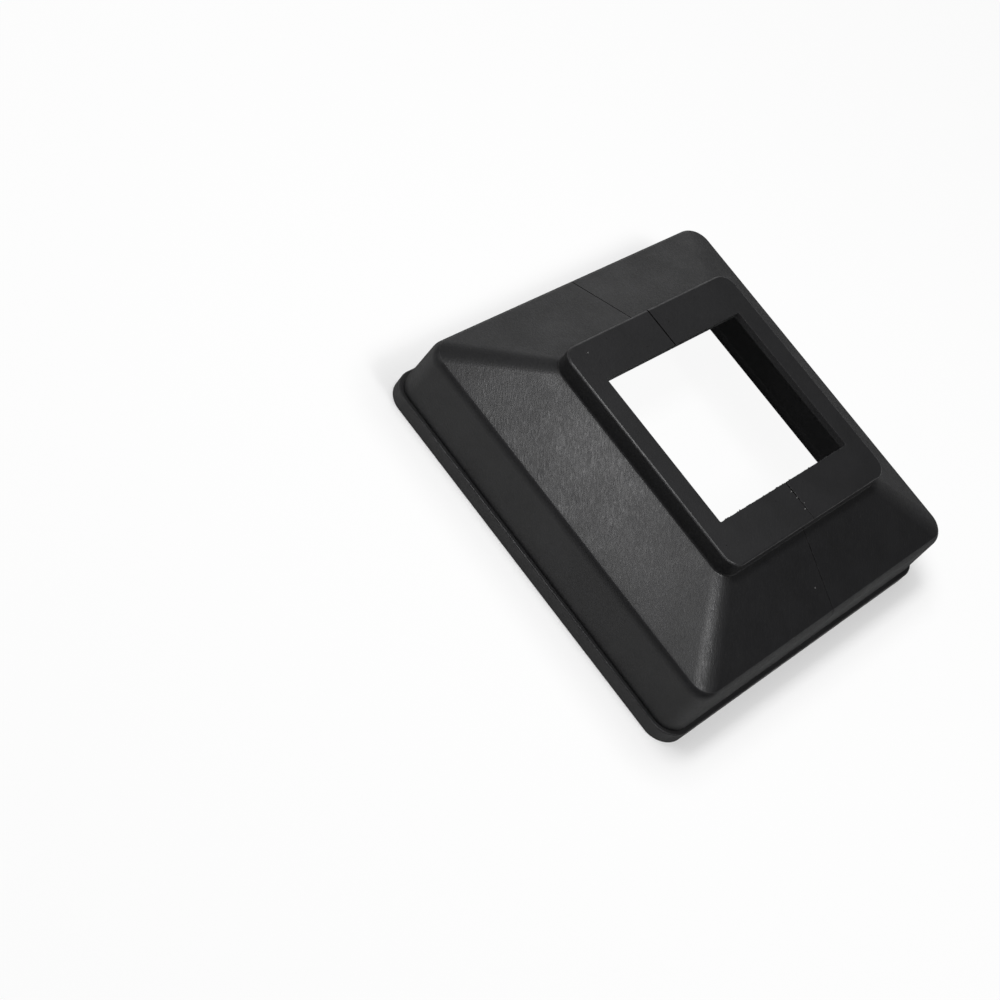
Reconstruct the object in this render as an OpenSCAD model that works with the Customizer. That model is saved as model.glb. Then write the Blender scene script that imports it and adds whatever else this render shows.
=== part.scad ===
// Two-part base cover for a square post.
// A low hipped skirt with a raised collar round the post and a stepped rim that rests on the ground.
// Both halves are the same moulding. They meet at the plane X = 0 and clip together inside.
// Origin: centre of the cover, on the ground. +Z is up along the post, and the seam runs along Y.

/* [Cover] */
// Height of the cover from the ground to the top of the collar
cover_h = 71.5; // [62:0.5:90]
// Width of the cover across its rim, the same both ways
rim_w = 234; // [215:1:260]
// Height of the rim's outer band
rim_h = 8; // [5:0.5:12]
// How far the rim stands out from the wall
rim_step = 2.5; // [1.5:0.1:4]
// Radius of the rim's corners, seen from above
rim_corner_r = 14.5; // [11:0.5:20]
// Rounding of the rim's upper edge
rim_edge_r = 0.8; // [0.3:0.1:1.2]
// Height at which the slope would meet the wall if the shoulder were sharp
shoulder_h = 41.5; // [38:0.5:48]
// Draft of the upright walls, in degrees
wall_draft = 2; // [0.5:0.5:4]
// Radius of the round shoulder between wall and slope
shoulder_r = 6.5; // [3:0.5:9]
// Radius of the wall's corners at the shoulder, seen from above
shoulder_corner_r = 12; // [8:0.5:18]
// Thickness of the moulded wall
wall_t = 3.2; // [2:0.1:4]

/* [Collar] */
// Width of the collar, the same both ways
collar_w = 140; // [134:1:160]
// How far the collar's flat top stands above the top of the slope
collar_h = 10.5; // [7:0.5:14]
// Radius of the collar's outer corners, seen from above
collar_corner_r = 9; // [5:0.5:12]
// Rounding of the collar's top edge
collar_edge_r = 0.9; // [0.4:0.1:1.5]
// Rounding in the valley where the collar meets the slope
collar_root_r = 1.2; // [0.5:0.1:2]
// Thickness of the collar's top round the post
collar_t = 4.2; // [3:0.1:6]

/* [Post opening] */
// Width of the opening across the seam, along X
opening_x = 113; // [100:1:118]
// Width of the opening along the seam, along Y
opening_y = 92; // [80:1:118]
// Radius of the opening's corners
opening_corner_r = 0.8; // [0.4:0.1:3]

/* [Seam] */
// Gap between the two halves along the slopes and walls
seam_gap = 0.3; // [0.2:0.05:0.8]
// How much further each half draws back from the seam at the opening's edge
seam_relief = 0.25; // [0.1:0.05:0.6]
// Clearance between one half's lip or tongue and the other half
clip_fit = 0.3; // [0.2:0.05:0.5]
// Thickness of the overlap lip behind the seam
lip_t = 1.6; // [1:0.1:2.5]
// How far the overlap lip reaches behind the other half
lip_reach = 6; // [3:0.5:9]
// How far the overlap lip's root runs back along its own half
lip_root = 8; // [5:0.5:12]
// How much thicker and longer the root is than the lip
root_step = 0.5; // [0.3:0.1:1]
// Distance from the rim's top to the lower end of the lip
lip_rise = 1; // [0.5:0.5:3]

/* [Snap clip] */
// Height of the tongue's lower edge above the ground
tongue_z = 16; // [15:0.5:18]
// Width of the forked tongue over its two prongs, up the wall
tongue_w = 12; // [8:0.5:14]
// Thickness of the tongue
tongue_t = 2; // [1.6:0.1:2.6]
// Width of the slot that lets the two prongs spring together
slot_w = 4; // [3:0.5:5]
// How far each prong's barb stands out
barb_h = 1.4; // [0.8:0.1:1.8]
// Length of the barb's ramp
barb_len = 5; // [3:0.5:7]
// Free length of the prongs between the end of the lip and the other half's loop
prong_free = 10; // [7:0.5:14]
// Width of the loop along X
loop_w = 4; // [3:0.5:6]
// Thickness of the loop's legs and cross bar
loop_t = 2; // [1.6:0.1:3]

/* [Hidden] */

// Segments in each corner seen from above, in the shoulder's bend and in each small edge rounding
corner_steps = 16;
bend_steps = 8;
edge_steps = 4;
// Smallest bend radius on the faces inside
least_bend_r = 1;
// Overlap that joins two solids of one moulding
weld = 0.6;
cover_colour = [0.09, 0.09, 0.095];

rim_half = rim_w / 2;
wall_foot_half = rim_half - rim_step;
shoulder_half = wall_foot_half - (shoulder_h - rim_h) * tan(wall_draft);
collar_half = collar_w / 2;
collar_inner_half = collar_half - wall_t;
collar_under_z = cover_h - collar_t;
slope_top_z = cover_h - collar_h;
slope_angle = atan2(slope_top_z - shoulder_h, shoulder_half - collar_half);
seam_x = seam_gap / 2;
// Depths between which a lip lies behind the other half
lip_outer = wall_t + clip_fit;
lip_inner = lip_outer + lip_t;
// Near side of the loop along X
loop_x = lip_reach + prong_free;

// The section is drawn in the plane of the distance from the centre and the height.
// Depth is measured inwards from the outer face of the wall or the slope.

// Point on the wall at a depth and a height
function wall_at(depth, z) = [wall_foot_half - depth - (z - rim_h) * tan(wall_draft), z];

// Point on the slope at a depth and a distance from the centre
function slope_at(depth, d) =
    [d, shoulder_h + (shoulder_half - d) * tan(slope_angle) - depth / cos(slope_angle)];

// Point where the wall and the slope would meet at a depth
function shoulder_at(depth) =
    let(
        base = wall_foot_half - depth + rim_h * tan(wall_draft),
        top = slope_at(depth, 0)[1],
        d = (base - top * tan(wall_draft)) / (1 - tan(slope_angle) * tan(wall_draft))
    )
    slope_at(depth, d);

// Radius of the shoulder's bend at a depth
function shoulder_bend_r(depth) = max(shoulder_r - depth, least_bend_r);

// Unit vector from point a to point b
function toward(a, b) = (b - a) / norm(b - a);

// Points of a round bend of radius r at corner p, between its neighbours a and b
function bend(a, p, b, r, steps) =
    let(
        u = toward(p, a),
        v = toward(p, b),
        half_angle = acos(u * v) / 2,
        start = p + u * r / tan(half_angle),
        centre = p + (u + v) / norm(u + v) * r / sin(half_angle),
        first = atan2(start[1] - centre[1], start[0] - centre[0]),
        turn = (u[0] * v[1] - u[1] * v[0] > 0 ? -1 : 1) * (180 - 2 * half_angle)
    )
    [for (i = [0:steps]) centre + r * [cos(first + turn * i / steps), sin(first + turn * i / steps)]];

// The outer face's corners, from the ground to the collar's flat top
rim_foot = [rim_half, 0];
rim_top = [rim_half, rim_h];
wall_foot = wall_at(0, rim_h);
shoulder_tip = shoulder_at(0);
collar_root = [collar_half, slope_top_z];
collar_tip = [collar_half, cover_h];
collar_inside = [0, cover_h];

outer_face = concat(
    [rim_foot],
    bend(rim_foot, rim_top, wall_foot, rim_edge_r, edge_steps),
    [wall_foot],
    bend(wall_foot, shoulder_tip, collar_root, shoulder_r, bend_steps),
    bend(shoulder_tip, collar_root, collar_tip, collar_root_r, edge_steps),
    bend(collar_root, collar_tip, collar_inside, collar_edge_r, edge_steps),
    [[collar_inner_half, cover_h]]
);

// The inner face's corners, from the ground to the collar's underside
inner_foot = [rim_half - wall_t, 0];
inner_jog = [rim_half - wall_t, rim_h - rim_step];
inner_wall_foot = wall_at(wall_t, rim_h);
inner_collar_root = slope_at(wall_t, collar_inner_half);
collar_under = [collar_inner_half, collar_under_z];

inner_face = concat(
    [inner_foot, inner_jog, inner_wall_foot],
    bend(inner_wall_foot, shoulder_at(wall_t), inner_collar_root, shoulder_bend_r(wall_t), bend_steps),
    [inner_collar_root, collar_under]
);

// For each point of the outer face, the number of the inner point that lies across the wall from it
across = concat(
    [0],
    [for (i = [0:edge_steps]) 1],
    [2],
    [for (i = [0:bend_steps]) 3 + i],
    [for (i = [0:edge_steps]) len(inner_face) - 2],
    [for (i = [0:edge_steps + 1]) len(inner_face) - 1]
);

// Corner radius seen from above at a distance from the centre of the outer face
function corner_r(d) =
    lookup(d, [
        [collar_half, collar_corner_r],
        [shoulder_half, shoulder_corner_r],
        [wall_foot_half, rim_corner_r - rim_step],
        [rim_half, rim_corner_r]
    ]) - max(collar_half - d, 0);

// Distance of the seam face from the seam plane: within the collar it draws back towards the opening
function seam_at(half_y) =
    seam_x + seam_relief * max(collar_inner_half - half_y, 0) / (collar_inner_half - opening_y / 2);

// Half of a rounded rectangle's outline, from the seam at -Y round +X to the seam at +Y
function half_outline(half_x, half_y, r, z) = concat(
    [[seam_at(half_y), -half_y, z]],
    [for (i = [0:corner_steps]) let(a = 90 * i / corner_steps - 90)
        [half_x - r + r * cos(a), r - half_y + r * sin(a), z]],
    [for (i = [0:corner_steps]) let(a = 90 * i / corner_steps)
        [half_x - r + r * cos(a), half_y - r + r * sin(a), z]],
    [[seam_at(half_y), half_y, z]]
);

function opening_outline(z) = half_outline(opening_x / 2, opening_y / 2, opening_corner_r, z);

// The shell's rings in order: up the outer face, through the opening and down the inner face
shell_rings = concat(
    [for (p = outer_face) half_outline(p[0], p[0], corner_r(p[0]), p[1])],
    [opening_outline(cover_h), opening_outline(collar_under_z)],
    [for (i = [len(inner_face) - 1:-1:0]) let(p = inner_face[i])
        half_outline(p[0], p[0], corner_r(p[0] + wall_t) - wall_t, p[1])]
);

// The shell of one half: its section carried round the corners from seam to seam
module shell() {
    rings = len(shell_rings);
    stations = len(shell_rings[0]);
    top = len(outer_face) - 1;
    function at(i, k) = (i % rings) * stations + k;
    function flipped(face) = [for (i = [len(face) - 1:-1:0]) face[i]];
    sides = [
        for (i = [0:rings - 1], k = [0:stations - 2])
            each [
                [at(i, k), at(i + 1, k), at(i + 1, k + 1)],
                [at(i, k), at(i + 1, k + 1), at(i, k + 1)]
            ]
    ];
    // The faces that close one end: a strip across the wall, and the collar's drawn-back top
    function end_faces(k) = [
        for (i = [0:top - 1])
            let(
                inner = rings - 1 - across[i],
                next_inner = rings - 1 - across[i + 1]
            )
            each [
                [at(i, k), at(i + 1, k), at(inner, k)],
                if (next_inner != inner) [at(i + 1, k), at(next_inner, k), at(inner, k)]
            ],
        [for (i = [top:top + 3]) at(i, k)]
    ];
    first_end = [for (face = end_faces(0)) flipped(face)];
    last_end = end_faces(stations - 1);
    polyhedron([for (ring = shell_rings) each ring], concat(sides, first_end, last_end), convexity = 10);
}

// Solid that follows the wall and the slope between two depths, from x = from_x to x = to_x
module lip_band(outer_depth, inner_depth, longer, from_x, to_x) {
    low_z = rim_h + lip_rise - longer;
    high_d = collar_inner_half + lip_t - longer;
    function line(depth) = concat(
        [wall_at(depth, low_z)],
        bend(wall_at(depth, low_z), shoulder_at(depth), slope_at(depth, high_d), shoulder_bend_r(depth), bend_steps),
        [slope_at(depth, high_d)]
    );
    outer = line(outer_depth);
    inner = line(inner_depth);
    translate([from_x, 0, 0])
        rotate([90, 0, 90])
            linear_extrude(to_x - from_x)
                polygon(concat(outer, [for (i = [len(inner) - 1:-1:0]) inner[i]]));
}

// The lip that reaches behind the other half at +Y, with its thicker root on this half
module overlap_lip() {
    lip_band(lip_outer, lip_inner, 0, -lip_reach, lip_root / 2);
    lip_band(wall_t - weld, lip_inner + root_step, root_step, seam_x + weld, lip_root);
}

// Distance of the tongue's outer face from the centre: it clears the wall at the tongue's upper edge
tongue_y = wall_at(lip_outer, tongue_z + tongue_w)[0];

// The forked tongue at +Y, whose barbs catch behind the other half's loop
module snap_tongue() {
    catch_x = loop_x + loop_w + clip_fit;
    half_w = tongue_w / 2;
    half_slot = slot_w / 2;
    module prong() {
        polygon([
            [lip_root / 2, 0],
            [lip_root / 2, half_w],
            [-catch_x, half_w],
            [-catch_x, half_w + barb_h],
            [-catch_x - barb_len, (half_w + half_slot) / 2],
            [-catch_x - barb_len, half_slot],
            [-lip_reach, half_slot],
            [-lip_reach, 0]
        ]);
    }
    translate([0, tongue_y, tongue_z + half_w])
        rotate([90, 0, 0])
            linear_extrude(tongue_t)
                union() {
                    prong();
                    mirror([0, 1]) prong();
                }
}

// The loop at +Y, a bridge of two legs and a bar that the other half's tongue passes through
module catch_loop() {
    low_z = tongue_z - clip_fit;
    high_z = tongue_z + tongue_w + clip_fit;
    bar_y = tongue_y - tongue_t - clip_fit;
    translate([loop_x, 0, 0])
        rotate([90, 0, 90])
            linear_extrude(loop_w)
                polygon([
                    wall_at(wall_t - weld, low_z - loop_t),
                    [bar_y - loop_t, low_z - loop_t],
                    [bar_y - loop_t, high_z + loop_t],
                    wall_at(wall_t - weld, high_z + loop_t),
                    wall_at(wall_t - weld, high_z),
                    [bar_y, high_z],
                    [bar_y, low_z],
                    wall_at(wall_t - weld, low_z)
                ]);
}

// One moulded half, on the +X side of the seam
module cover_half() {
    shell();
    catch_loop();
    mirror([0, 1, 0]) {
        overlap_lip();
        snap_tongue();
    }
}

module right_half() {
    color(cover_colour) cover_half();
}

module left_half() {
    color(cover_colour) rotate([0, 0, 180]) cover_half();
}

right_half();
left_half();
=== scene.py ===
"""Looks of a two-part moulded cover for a square post's foot.

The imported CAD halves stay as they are. Each is replaced by a copy of its own mesh with softened
arrises and smooth bends, and small pieces add what the mould and the trimming knife left behind.
"""
import math
import random

import bmesh
import bpy
from mathutils import Euler, Matrix, Vector
from mathutils.bvhtree import BVHTree


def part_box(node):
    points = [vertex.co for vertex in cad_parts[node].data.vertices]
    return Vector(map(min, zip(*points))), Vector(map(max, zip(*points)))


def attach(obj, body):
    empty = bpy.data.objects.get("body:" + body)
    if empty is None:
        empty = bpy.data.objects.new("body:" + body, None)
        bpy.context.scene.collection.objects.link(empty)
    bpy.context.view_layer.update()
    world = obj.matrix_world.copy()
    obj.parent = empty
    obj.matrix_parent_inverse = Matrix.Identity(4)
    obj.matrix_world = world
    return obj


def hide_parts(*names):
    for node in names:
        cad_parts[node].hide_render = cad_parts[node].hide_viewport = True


bl_info = {
    "name": "Post base cover",
    "version": (1, 0, 0),
    "blender": (4, 5, 0),
    "location": "3D View > Sidebar > Post cover",
    "description": "Dresses the clipped halves of a moulded post cover and sets up its studio",
    "category": "Object",
}

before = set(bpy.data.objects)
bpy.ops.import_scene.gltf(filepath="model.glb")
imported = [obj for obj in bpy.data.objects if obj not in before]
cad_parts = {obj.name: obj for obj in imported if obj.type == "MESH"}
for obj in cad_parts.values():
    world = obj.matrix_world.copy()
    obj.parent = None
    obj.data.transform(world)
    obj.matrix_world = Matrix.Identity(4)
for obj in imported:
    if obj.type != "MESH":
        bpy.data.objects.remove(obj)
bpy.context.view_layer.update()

MM = 0.001
BODY = "root"
HALVES = ("right_half", "left_half")

# Sizes of the CAD's outer face. A face's tilt is its angle to the ground.
RIM_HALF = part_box("right_half")[1].x
RIM_CORNER = 14.5 * MM
RIM_HEIGHT = 8 * MM
RIM_STEP = 2.5 * MM
LEVEL, WALL_TILT, UPRIGHT = (math.radians(tilt) for tilt in (0, 88, 90))
SHOULDER_HEIGHT = 41.5 * MM
SHOULDER_HALF = RIM_HALF - RIM_STEP - (SHOULDER_HEIGHT - RIM_HEIGHT) / math.tan(WALL_TILT)
SHOULDER_RADIUS = 6.5 * MM
SHOULDER_CORNER = 12 * MM
COVER_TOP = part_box("right_half")[1].z
COLLAR_HALF = 70 * MM
COLLAR_HEIGHT = 10.5 * MM
COLLAR_EDGE_RADIUS = 0.9 * MM
SLOPE_TOP = COVER_TOP - COLLAR_HEIGHT
SLOPE_TILT = math.atan2(SLOPE_TOP - SHOULDER_HEIGHT, SHOULDER_HALF - COLLAR_HALF)

# Steps in the CAD's bends at the shoulder and at the collar's top edge
SHOULDER_STEPS = 8
COLLAR_EDGE_STEPS = 4

# Half widths of the post opening and of the gap between the halves, and how much further each
# half draws back from the seam at the opening
OPENING_HALF_X = 56.5 * MM
OPENING_HALF_Y = 46 * MM
SEAM_HALF = 0.15 * MM
SEAM_RELIEF = 0.25 * MM

# How close two points are that are one, that lie on one plane, and that lie beside each other
WELD = 0.001 * MM
TOUCH = 0.01 * MM
NEAR = 0.05 * MM

# Angles between two faces: up to the first they are one flat, past the others an edge is softened
# or kept sharp
FLAT_ANGLE = math.radians(0.2)
ARRIS_ANGLE = math.radians(35)
SHARP_ANGLE = math.radians(32)

# Mesh attributes: how sharp an arris is, from 0 on the flats to 1, which sets its wear and painted
# highlight
WEAR_AND_HIGHLIGHT = "worn_and_highlit"
# Where dust and painted shade sit in the seam
SEAM_DUST_AND_SHADE = "seam_dust_and_shade"

# What the name of the moulded skin's material starts with, before the name of the half
SKIN = "satin_moulded_polypropylene_"
POLYPROPYLENE_IOR = 1.49

# Each half's streaks start elsewhere, so that the two don't match
STREAK_OFFSETS = {"right_half": (0.0, 0.0, 0.0), "left_half": (0.031, -0.017, 0.012)}

# Spans of a value: the whole of it, and the part that noise mostly lies in
WHOLE = (0.0, 1.0)
NOISE_SPAN = (0.3, 0.7)

# Numbers of the Mix node's two colour inputs and of its colour output
MIX_FIRST, MIX_SECOND, MIX_RESULT = 6, 7, 2

# A ray that looks for the top of the cover starts a metre up
HIGH_ABOVE = 1.0
STRAIGHT_DOWN = Vector((0, 0, -1))


def linear(hex_colour):
    """Linear RGBA of an sRGB hex colour, by the sRGB standard's curve"""
    parts = [int(hex_colour[i : i + 2], 16) / 255 for i in (1, 3, 5)]
    return [c / 12.92 if c <= 0.04045 else ((c + 0.055) / 1.055) ** 2.4 for c in parts] + [1.0]


class CoverFinish(bpy.types.PropertyGroup):
    """Colours and grain of the moulded plastic"""

    plastic: bpy.props.FloatVectorProperty(
        name="Plastic",
        description="Colour of the moulded plastic",
        default=linear("#1B1B1C"),
        size=4, min=0, max=1, subtype="COLOR",
    )
    # Paler than the plastic, for wear and as a painted highlight on rubbed arrises
    plastic_worn_and_highlight: bpy.props.FloatVectorProperty(
        name="Rubbed plastic",
        description="Colour of rubbed arrises",
        default=linear("#3C3C3D"),
        size=4, min=0, max=1, subtype="COLOR",
    )
    plastic_pale: bpy.props.FloatVectorProperty(
        name="Torn plastic",
        description="Colour of torn, stress-whitened plastic",
        default=linear("#8E8E8C"),
        size=4, min=0, max=1, subtype="COLOR",
    )
    # Near black, for the dust in the seam and as painted shade in the gap
    seam_dust_and_shade: bpy.props.FloatVectorProperty(
        name="Grime",
        description="Colour of the dust and shade in the seam",
        default=linear("#040404"),
        size=4, min=0, max=1, subtype="COLOR",
    )
    roughness: bpy.props.FloatProperty(
        name="Roughness",
        description="Mean roughness of the satin skin",
        default=0.41,
        min=0.2, max=0.9,
    )
    roughness_edge_on: bpy.props.FloatProperty(
        name="Roughness edge on",
        description="What is added to it where the skin is seen edge on",
        default=0.42,
        min=0, max=0.5,
    )
    roughness_rubbed: bpy.props.FloatProperty(
        name="Rubbed roughness",
        description="Roughness of rubbed arrises",
        default=0.22,
        min=0.1, max=0.9,
    )
    streak_length: bpy.props.FloatProperty(
        name="Streak length",
        description="Length of one moulding streak",
        default=3.4 * MM,
        unit="LENGTH",
    )
    streak_width: bpy.props.FloatProperty(
        name="Streak width",
        description="Width of one moulding streak",
        default=0.85 * MM,
        unit="LENGTH",
    )
    grain_size: bpy.props.FloatProperty(
        name="Grain size",
        description="Size of the fine moulded grain",
        default=0.55 * MM,
        unit="LENGTH",
    )


class ArrisSizes(bpy.types.PropertyGroup):
    """Sizes of the softened edges and of the flash on them"""

    seam_round: bpy.props.FloatProperty(
        name="Seam arris",
        description="Softening of the edges along the seam",
        default=0.16 * MM,
        unit="LENGTH",
    )
    collar_seam_round: bpy.props.FloatProperty(
        name="Collar seam arris",
        description="The same on the collar at the far side",
        default=0.34 * MM,
        unit="LENGTH",
    )
    crease_width: bpy.props.FloatProperty(
        name="Crease width",
        description="Width of the worn line at the foot of the slopes",
        default=0.44 * MM,
        unit="LENGTH",
    )
    hip_radius: bpy.props.FloatProperty(
        name="Hip radius",
        description="Corner radius of the slopes at that line",
        default=11 * MM,
        unit="LENGTH",
    )
    crease_turn: bpy.props.FloatProperty(
        name="Crease turn",
        description="How far the surface turns at that line",
        default=math.radians(22),
        subtype="ANGLE",
    )
    foot_round: bpy.props.FloatProperty(
        name="Foot arris",
        description="Softening of the rim's lower edge",
        default=0.5 * MM,
        unit="LENGTH",
    )
    flash_reach: bpy.props.FloatProperty(
        name="Flash reach",
        description="How far the longest flash stands into the opening",
        default=1.1 * MM,
        unit="LENGTH",
    )
    flash_thick: bpy.props.FloatProperty(
        name="Flash thickness",
        description="Thickness of the flash",
        default=0.25 * MM,
        unit="LENGTH",
    )
    bead_radius: bpy.props.FloatProperty(
        name="Bead radius",
        description="Radius of the bead of flash along an edge",
        default=0.24 * MM,
        unit="LENGTH",
    )


class StudioSettings(bpy.types.PropertyGroup):
    """The plain studio round the cover"""

    floor: bpy.props.FloatVectorProperty(
        name="Floor",
        description="Colour of the floor",
        default=linear("#F4F4F4"),
        size=4, min=0, max=1, subtype="COLOR",
    )
    floor_white: bpy.props.FloatProperty(
        name="Floor white",
        description="Share of plain white in the floor as it is seen",
        default=0.93,
        min=0, max=1,
    )
    shadow_white: bpy.props.FloatProperty(
        name="White beside the rim",
        description="The same share close to the rim",
        default=0.40,
        min=0, max=1,
    )
    inside_white: bpy.props.FloatProperty(
        name="White inside",
        description="The same share under the opening",
        default=0.93,
        min=0, max=1,
    )
    shadow_reach: bpy.props.FloatProperty(
        name="Shadow reach",
        description="Width of the strip beside the rim",
        default=32 * MM,
        unit="LENGTH",
    )
    sky: bpy.props.FloatProperty(
        name="Room light",
        description="Strength of the room's even light",
        default=0.07,
    )
    key: bpy.props.FloatProperty(
        name="Key",
        description="Brightness of the softbox overhead",
        default=18.0,
    )
    kicker: bpy.props.FloatProperty(
        name="Kicker",
        description="Brightness of the small lamp for the hip",
        default=23.0,
    )
    top: bpy.props.FloatProperty(
        name="Top",
        description="Brightness of the lamp that the collar's top mirrors",
        default=1.4,
    )
    side: bpy.props.FloatProperty(
        name="Side",
        description="Brightness of the panel at the far side",
        default=1.3,
    )
    fill: bpy.props.FloatProperty(
        name="Fill",
        description="Brightness of the panel above the camera, at its left",
        default=1.1,
    )


def add(tree, kind, links=None, **settings):
    """Add a node: settings are its own properties, links are values or sockets for its inputs"""
    node = tree.nodes.new(kind)
    for name, value in settings.items():
        setattr(node, name, value)
    for socket, value in (links or {}).items():
        if isinstance(value, bpy.types.NodeSocket):
            tree.links.new(value, node.inputs[socket])
        else:
            node.inputs[socket].default_value = value
    return node


def maths(tree, operation, first, second):
    """Result of a Math node"""
    return add(tree, "ShaderNodeMath", {0: first, 1: second}, operation=operation).outputs[0]


def vector_maths(tree, operation, links):
    """Result of a Vector Math node"""
    return add(tree, "ShaderNodeVectorMath", links, operation=operation).outputs["Vector"]


def spread(tree, value, old, new, **settings):
    """The value carried over from one span, (low, high), to another"""
    links = {
        "Value": value,
        "From Min": old[0],
        "From Max": old[1],
        "To Min": new[0],
        "To Max": new[1],
    }
    return add(tree, "ShaderNodeMapRange", links, **settings).outputs["Result"]


def mixed(tree, share, first, second):
    """The first colour with a share of the second"""
    links = {"Factor": share, MIX_FIRST: first, MIX_SECOND: second}
    return add(tree, "ShaderNodeMix", links, data_type="RGBA").outputs[MIX_RESULT]


def noise(tree, place, size, detail, **more):
    """Noise in lumps of the given size"""
    links = {"Vector": place, "Scale": 1 / size, "Detail": detail, **more}
    return add(tree, "ShaderNodeTexNoise", links).outputs["Fac"]


def ramp(tree, factor, stops):
    """Colour ramp with grey stops given as (place, value)"""
    node = add(tree, "ShaderNodeValToRGB", {"Fac": factor})
    elements = node.color_ramp.elements
    while len(elements) < len(stops):
        elements.new(0.5)
    for element, (place, value) in zip(elements, stops):
        element.position = place
        element.color = (value, value, value, 1)
    return node.outputs["Color"]


def bumped(tree, height, depth, under=None):
    """Surface made uneven by a height, on top of the unevenness under it"""
    links = {"Height": height, "Distance": depth}
    if under is not None:
        links["Normal"] = under
    return add(tree, "ShaderNodeBump", links).outputs["Normal"]


def polypropylene(tree, colour, roughness, gloss, surface):
    """Finish a material's tree with the shader of the bare plastic"""
    links = {
        "Base Color": colour,
        "Roughness": roughness,
        "IOR": POLYPROPYLENE_IOR,
        "Specular IOR Level": gloss,
        "Normal": surface,
    }
    shader = add(tree, "ShaderNodeBsdfPrincipled", links)
    add(tree, "ShaderNodeOutputMaterial", {"Surface": shader.outputs[0]})


def new_material(name):
    """Empty node material, its tree and the place on the piece"""
    material = bpy.data.materials.new(name)
    material.use_nodes = True
    tree = material.node_tree
    tree.nodes.clear()
    return material, tree, add(tree, "ShaderNodeTexCoord").outputs["Object"]


def new_object(name, mesh):
    """Object of the mesh, linked to the scene"""
    piece = bpy.data.objects.new(name, mesh)
    bpy.context.scene.collection.objects.link(piece)
    return piece


def settle(piece):
    """Fix a finished piece to the cover's only body"""
    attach(piece, BODY)


def satin_moulded_polypropylene(finish, half):
    """Injection-moulded satin black polypropylene.

    To the eye it is a near-black skin with a soft grey sheen. Faint flow streaks run slantwise over
    it, a fine grain breaks the highlights, large faces are very slightly sunk, and rubbed arrises
    are greyer and smoother, the grey partly a painted highlight. The seam is painted near black for
    its dust and the shade in the gap.
    """
    material, tree, place = new_material(SKIN + half)

    flow_direction = Vector((0.565, 0.785, 0.254))
    streak_links = {
        "Vector": place,
        "Location": STREAK_OFFSETS[half],
        "Rotation": flow_direction.to_track_quat("X", "Z").to_euler(),
        "Scale": (finish.streak_length, finish.streak_width, finish.streak_width),
    }
    streak_node = add(tree, "ShaderNodeMapping", streak_links, vector_type="TEXTURE")
    streaks = noise(tree, streak_node.outputs["Vector"], size=1.0, detail=2.0, Distortion=1.1)
    grain = noise(tree, place, finish.grain_size, detail=2.0)
    # Clouds are as wide as the patches of duller skin on the slopes
    cloud_size, sink_size, scuff_size = 22 * MM, 55 * MM, 3 * MM
    clouds = noise(tree, place, cloud_size, detail=3.0, Roughness=0.6)
    # Sink marks bend the long reflections a little
    sinks = noise(tree, place, sink_size, detail=1.0)

    # Scuffs break up the rubbed look and its painted highlight
    scuffs = ramp(tree, noise(tree, place, scuff_size, detail=4.0), [(0.3, 0.35), (0.6, 1.0)])
    arris = add(tree, "ShaderNodeAttribute", attribute_name=WEAR_AND_HIGHLIGHT).outputs["Fac"]
    patchy = maths(tree, "MULTIPLY", arris, scuffs)
    seam_dust_and_shade = add(tree, "ShaderNodeAttribute", attribute_name=SEAM_DUST_AND_SHADE).outputs["Fac"]

    cloud_paleness = 1.35
    cloudy_plastic = [c * cloud_paleness for c in finish.plastic[:3]] + [1]
    cloud_share = ramp(tree, clouds, [(0.35, 0.0), (0.7, 1.0)])
    skin = mixed(tree, cloud_share, finish.plastic, cloudy_plastic)
    # Rubbed arrises are painted paler, partly for wear and partly as a painted highlight
    worn_and_highlit = mixed(tree, patchy, skin, finish.plastic_worn_and_highlight)
    # The seam is painted near black, for its dust and as painted shade
    colour = mixed(tree, seam_dust_and_shade, worn_and_highlit, finish.seam_dust_and_shade)

    # How much streaks and clouds change the mean roughness, and how rough the seam's dust and
    # painted shade is
    by_streaks, by_clouds, dust_and_shade_roughness = 0.06, 0.025, 0.95
    streak_span = (finish.roughness + by_streaks, finish.roughness - by_streaks)
    streaky = spread(tree, streaks, NOISE_SPAN, streak_span)
    cloudy = spread(tree, clouds, NOISE_SPAN, (by_clouds, -by_clouds))
    # A grained skin loses its gloss where it is seen edge on
    facing = add(tree, "ShaderNodeLayerWeight", {"Blend": 0.5}).outputs["Facing"]
    facing_span = (0.38, 0.9)
    edge_on = spread(tree, facing, facing_span, (0.0, finish.roughness_edge_on))
    of_skin = maths(tree, "ADD", maths(tree, "ADD", streaky, cloudy), edge_on)
    of_skin_or_arris = spread(tree, patchy, WHOLE, (of_skin, finish.roughness_rubbed))
    roughness = spread(tree, seam_dust_and_shade, WHOLE, (of_skin_or_arris, dust_and_shade_roughness))

    sink_depth, streak_depth, grain_depth = 0.12 * MM, 0.09 * MM, 0.015 * MM
    surface = bumped(tree, sinks, sink_depth)
    surface = bumped(tree, streaks, streak_depth, surface)
    surface = bumped(tree, grain, grain_depth, surface)
    polypropylene(tree, colour, roughness, gloss=0.25, surface=surface)
    return material


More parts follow.
